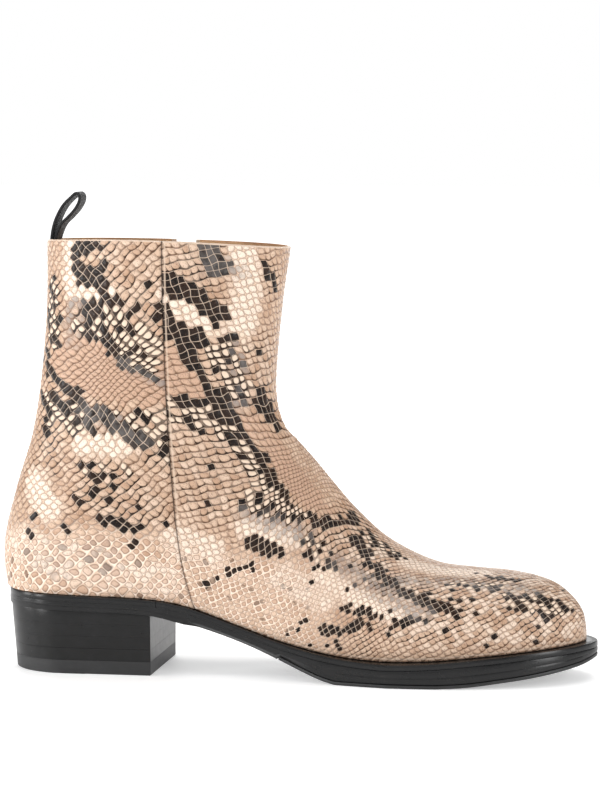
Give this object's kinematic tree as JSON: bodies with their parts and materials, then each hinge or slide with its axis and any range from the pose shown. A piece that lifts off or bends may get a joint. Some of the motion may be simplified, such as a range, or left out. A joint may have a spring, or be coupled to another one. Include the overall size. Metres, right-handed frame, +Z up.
{
  "type": "ankle boot",
  "caption": "Snake-embossed leather ankle boot with a stacked block heel, welted sole, inside zip and back pull loop; worn on the right foot.",
  "frame": {"origin": "centre of the boot's plan box, on the floor it stands on", "axes": "+X towards the toe, +Y towards the inner side of the foot, +Z up"},
  "size_m": [0.3108, 0.0984, 0.2487],
  "materials": {
    "snake_leather": "snake-embossed, glossy, cream and tan with dark brown markings",
    "lining_leather": "smooth, matt, tan brown",
    "seam_tape": "woven reinforcing tape",
    "stiffener_board": "bonded leather fibre board",
    "insole_board": "vegetable-tanned insole leather, unfinished",
    "heel_pad_leather": "padded, matt, brown",
    "cork": "ground cork and latex filler",
    "shank_steel": "spring steel strip",
    "black_edge": "black waxed and burnished sole and heel edges",
    "black_rubber": "black, satin",
    "nail_steel": "plain steel",
    "zip_fabric": "dark woven tape",
    "zip_metal": "antique nickel",
    "strap_leather": "black, semi-gloss folded strap"
  },
  "bodies": {
    "boot": {"front_panel": "snake_leather", "back_panel": "snake_leather", "front_lining": "lining_leather", "back_lining": "lining_leather", "zip_guard": "lining_leather", "side_seam_tape": "seam_tape", "heel_counter": "stiffener_board", "toe_puff": "stiffener_board", "insole_board": "insole_board", "sock_liner": "lining_leather", "heel_pad": "heel_pad_leather", "cork_filler": "cork", "shank": "shank_steel", "welt": "black_edge", "heel_rand": "black_edge", "outsole": "black_edge", "rubber_half_sole": "black_rubber", "top_lift": "black_rubber", "top_lift_insert": "black_rubber", "heel_lift_1": "black_edge", "heel_lift_2": "black_edge", "heel_lift_3": "black_edge", "heel_lift_4": "black_edge", "heel_nail_1": "nail_steel", "heel_nail_2": "nail_steel", "heel_nail_3": "nail_steel", "heel_nail_4": "nail_steel", "zip_tape_front": "zip_fabric", "zip_tape_back": "zip_fabric", "zip_teeth_front": "zip_metal", "zip_teeth_back": "zip_metal", "zip_top_stop_front": "zip_metal", "zip_top_stop_back": "zip_metal", "zip_bottom_stop": "zip_metal", "pull_loop_tails": "strap_leather"},
    "zip_slider": {"zip_slider": "zip_metal"},
    "zip_puller": {"zip_puller": "zip_metal"},
    "pull_loop": {"pull_loop": "strap_leather"}
  },
  "joints": [
    {"name": "zip_slide", "type": "slide", "parent": "boot", "child": "zip_slider", "axis": [-0.0472, -0.0384, -0.9981], "range_m": [0, 0.124]},
    {"name": "puller_swing", "type": "hinge", "parent": "zip_slider", "child": "zip_puller", "pos_m": [-0.06732, 0.04073, 0.20686], "axis": [1, 0, 0], "range_deg": [0, 160]},
    {"name": "loop_flex", "type": "hinge", "parent": "boot", "child": "pull_loop", "pos_m": [-0.12766, -0.00225, 0.2263], "axis": [0, 1, 0], "range_deg": [-75, 40], "stiffness_Nm_per_rad": 0.02}
  ]
}
